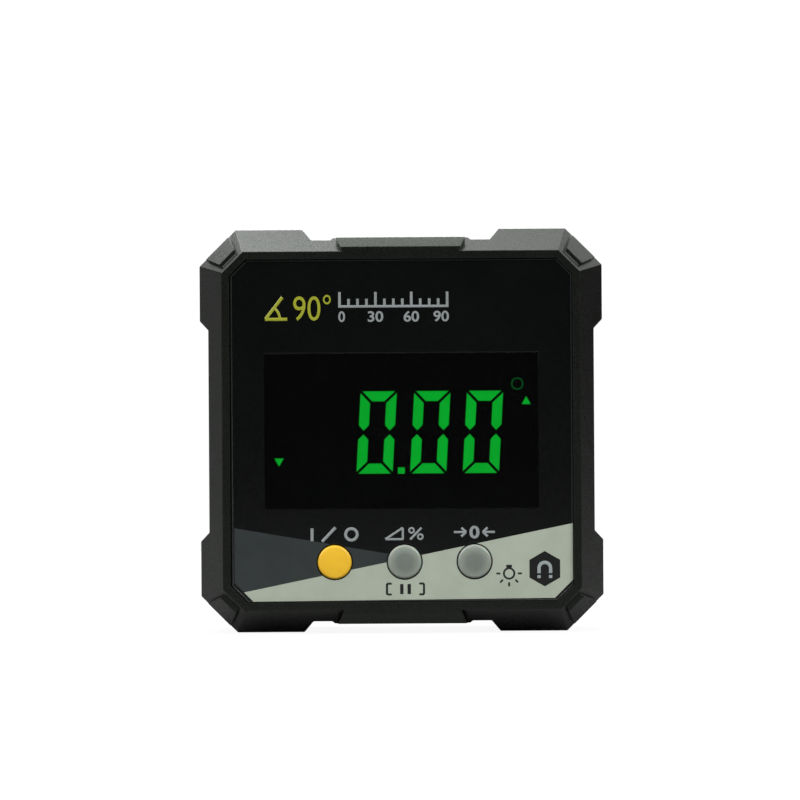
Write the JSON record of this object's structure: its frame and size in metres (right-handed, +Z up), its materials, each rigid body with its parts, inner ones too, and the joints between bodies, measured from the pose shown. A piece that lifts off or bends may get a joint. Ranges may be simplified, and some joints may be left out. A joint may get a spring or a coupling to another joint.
{
  "type": "inclinometer",
  "caption": "Square digital inclinometer with a face display, push keys, magnetic pipe grooves and a battery door that swings open at the back.",
  "frame": {"origin": "on the plane of the lower bumpers, midway across the width and the depth", "axes": "+X to the right as the face is seen, +Y from the face to the back, +Z up"},
  "size_m": [0.0604, 0.027, 0.0603],
  "materials": {
    "housing_plastic": "fine spark-eroded ABS",
    "panel_print": "clear panel printed black, grey and pale grey behind",
    "yellow_key": "matte moulded key",
    "grey_key": "translucent grey moulded key",
    "display_glass": "dark negative display glass",
    "black_rubber": "silicone",
    "grey_rubber": "layered contact rubber",
    "black_plastic": "moulded",
    "white_plastic": "moulded",
    "board_green": "solder mask",
    "screw_steel": "zinc plated",
    "ceramic_tan": "ceramic",
    "magnet_nickel": "nickel plated",
    "cell_wrap": "shrink wrap over a steel can",
    "contact_nickel": "nickel plated spring steel",
    "foam": "closed-cell foam"
  },
  "bodies": {
    "root": {"front_housing": "housing_plastic", "rear_cover": "housing_plastic", "face_panel": "panel_print", "key_gasket": "black_rubber", "case_seal": "black_rubber", "tact_switches": "black_plastic", "lcd_glass": "display_glass", "lcd_backlight": "white_plastic", "lcd_holder": "white_plastic", "lcd_contacts": "grey_rubber", "backlight_leds": "white_plastic", "circuit_board": "board_green", "board_screws": "screw_steel", "case_screws": "screw_steel", "controller_chip": "black_plastic", "tilt_sensor": "black_plastic", "board_capacitors": "ceramic_tan", "top_magnets": "magnet_nickel", "bottom_magnets": "magnet_nickel", "battery_cell_1": "cell_wrap", "battery_cell_2": "cell_wrap", "contact_positive": "contact_nickel", "contact_negative": "contact_nickel", "contact_bridge": "contact_nickel", "cell_springs": "contact_nickel", "door_seal": "foam"},
    "power_button": {"power_key": "yellow_key", "power_plunger": "white_plastic"},
    "hold_button": {"hold_key": "grey_key", "hold_plunger": "white_plastic"},
    "zero_button": {"zero_key": "grey_key", "zero_plunger": "white_plastic"},
    "door": {"battery_door": "housing_plastic", "door_pad": "foam"}
  },
  "joints": [
    {"name": "power_press", "type": "slide", "parent": "root", "child": "power_button", "axis": [0, 1, 0], "range_m": [0, 0.0003], "stiffness_N_per_m": 1500},
    {"name": "hold_press", "type": "slide", "parent": "root", "child": "hold_button", "axis": [0, 1, 0], "range_m": [0, 0.0003], "stiffness_N_per_m": 1500},
    {"name": "zero_press", "type": "slide", "parent": "root", "child": "zero_button", "axis": [0, 1, 0], "range_m": [0, 0.0003], "stiffness_N_per_m": 1500},
    {"name": "door_swing", "type": "hinge", "parent": "root", "child": "door", "pos_m": [0, 0.0135, 0.04275], "axis": [1, 0, 0], "range_deg": [0, 75]}
  ]
}
